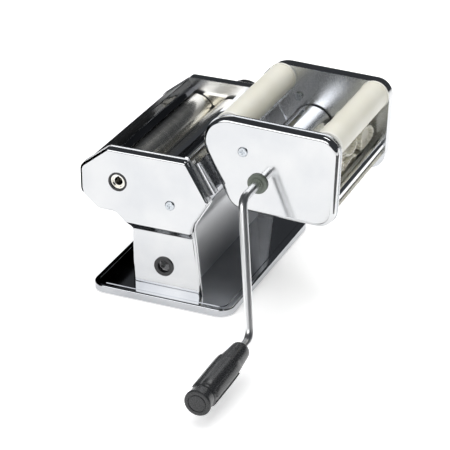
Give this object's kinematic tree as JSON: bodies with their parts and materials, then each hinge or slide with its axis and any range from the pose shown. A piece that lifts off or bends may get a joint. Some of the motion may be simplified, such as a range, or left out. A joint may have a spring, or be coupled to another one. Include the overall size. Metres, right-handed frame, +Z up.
{
  "type": "pasta roller machine",
  "caption": "Hand-cranked pasta roller with polished steel side walls on a flat base, and a tilted two-drum filling attachment with cream guide rolls hung on its front.",
  "frame": {"origin": "centre of the base on the table it stands on", "axes": "+Z up, +Y along the rollers away from the crank, +X towards the attachment"},
  "size_m": [0.2404, 0.3851, 0.1849],
  "materials": {
    "polished_steel": "mirror-polished stainless steel",
    "sheet_steel": "plain rolled steel sheet",
    "satin_alloy": "satin",
    "drum_chrome": "bright plated",
    "gear_steel": "machined",
    "bearing_bronze": "satin",
    "cream_plastic": "moulded, soft gloss",
    "black_plastic": "moulded, low gloss",
    "grey_plastic": "moulded",
    "zinc_screw": "zinc plated",
    "foot_rubber": "moulded"
  },
  "bodies": {
    "machine": {"base_plate": "polished_steel", "rubber_feet": "foot_rubber", "side_cover_near": "polished_steel", "side_cover_far": "polished_steel", "side_plate_near": "sheet_steel", "side_plate_far": "sheet_steel", "clamp_sleeve": "grey_plastic", "clamp_bracket": "sheet_steel", "base_screws": "zinc_screw", "roller_bushes": "bearing_bronze", "socket_ring": "black_plastic", "cover_screws": "zinc_screw", "frame_tie_rods": "sheet_steel", "hopper_rear": "polished_steel", "hopper_front": "polished_steel", "hopper_bead": "polished_steel", "front_cap": "satin_alloy", "front_apron": "polished_steel", "rear_cover": "polished_steel", "dough_scrapers": "sheet_steel", "nip_guards": "satin_alloy", "rail_near": "sheet_steel", "rail_far": "sheet_steel", "setting_dial": "sheet_steel"},
    "drive_roller": {"roller_drive": "satin_alloy", "roller_gear_drive": "gear_steel"},
    "gap_carriage": {"gap_block_near": "bearing_bronze", "gap_block_far": "bearing_bronze"},
    "adjustable_roller": {"roller_adjustable": "satin_alloy", "roller_gear_adjustable": "gear_steel"},
    "selector": {"selector_spindle": "gear_steel"},
    "knob": {"selector_knob": "black_plastic", "detent_pin": "sheet_steel", "knob_spring": "sheet_steel"},
    "attachment": {"unit_cover_near": "polished_steel", "unit_cover_far": "polished_steel", "unit_plate_near": "sheet_steel", "unit_plate_far": "sheet_steel", "unit_screws": "zinc_screw", "unit_nuts": "zinc_screw", "hub_bush": "grey_plastic", "unit_bushes": "bearing_bronze", "guide_roll_back": "cream_plastic", "guide_roll_front": "cream_plastic", "guide_cheeks": "cream_plastic", "unit_tie_rod": "polished_steel", "unit_back_rods": "polished_steel", "lower_strip": "cream_plastic", "stripper_blade": "sheet_steel", "hook_near": "sheet_steel", "hook_far": "sheet_steel"},
    "drum": {"drive_drum": "drum_chrome", "drum_gear": "gear_steel"},
    "mould": {"mould_drum": "cream_plastic", "mould_gear": "gear_steel"},
    "crank": {"crank_rod": "polished_steel", "grip_clip": "sheet_steel"},
    "grip": {"crank_grip": "black_plastic", "grip_cap": "black_plastic"}
  },
  "joints": [
    {"name": "roller_spin", "type": "hinge", "parent": "machine", "child": "drive_roller", "pos_m": [-0.0423, 0, 0.113], "axis": [0, 1, 0], "continuous": true},
    {"name": "gap_turn", "type": "hinge", "parent": "machine", "child": "selector", "pos_m": [-0.0068, 0.0987, 0.117], "axis": [0, 1, 0], "range_deg": [0, 270]},
    {"name": "knob_pull", "type": "slide", "parent": "selector", "child": "knob", "axis": [0, 1, 0], "range_m": [0, 0.004], "stiffness_N_per_m": 300},
    {"name": "gap_slide", "type": "slide", "parent": "machine", "child": "gap_carriage", "axis": [1, 0, 0], "range_m": [0, 0.0028]},
    {"name": "adjustable_spin", "type": "hinge", "parent": "gap_carriage", "child": "adjustable_roller", "pos_m": [-0.0052, 0, 0.113], "axis": [0, 1, 0], "continuous": true},
    {"name": "attachment_lift", "type": "slide", "parent": "machine", "child": "attachment", "axis": [-0.5056, 0, 0.8628], "range_m": [0, 0.05]},
    {"name": "drum_spin", "type": "hinge", "parent": "attachment", "child": "drum", "pos_m": [0.0852, 0, 0.1263], "axis": [0, 1, 0], "continuous": true},
    {"name": "mould_spin", "type": "hinge", "parent": "attachment", "child": "mould", "pos_m": [0.12686, 0, 0.13365], "axis": [0, 1, 0], "continuous": true},
    {"name": "crank_pull", "type": "slide", "parent": "drum", "child": "crank", "axis": [0, -1, 0], "range_m": [0, 0.03]},
    {"name": "grip_spin", "type": "hinge", "parent": "crank", "child": "grip", "pos_m": [0.10851, -0.14575, 0.01275], "axis": [0, 1, 0], "continuous": true}
  ],
  "couplings": [
    {"joint": "gap_turn", "follows": "gap_slide", "rad_per_m": 1683},
    {"joint": "adjustable_spin", "follows": "roller_spin", "ratio": -1},
    {"joint": "mould_spin", "follows": "drum_spin", "ratio": -1}
  ]
}
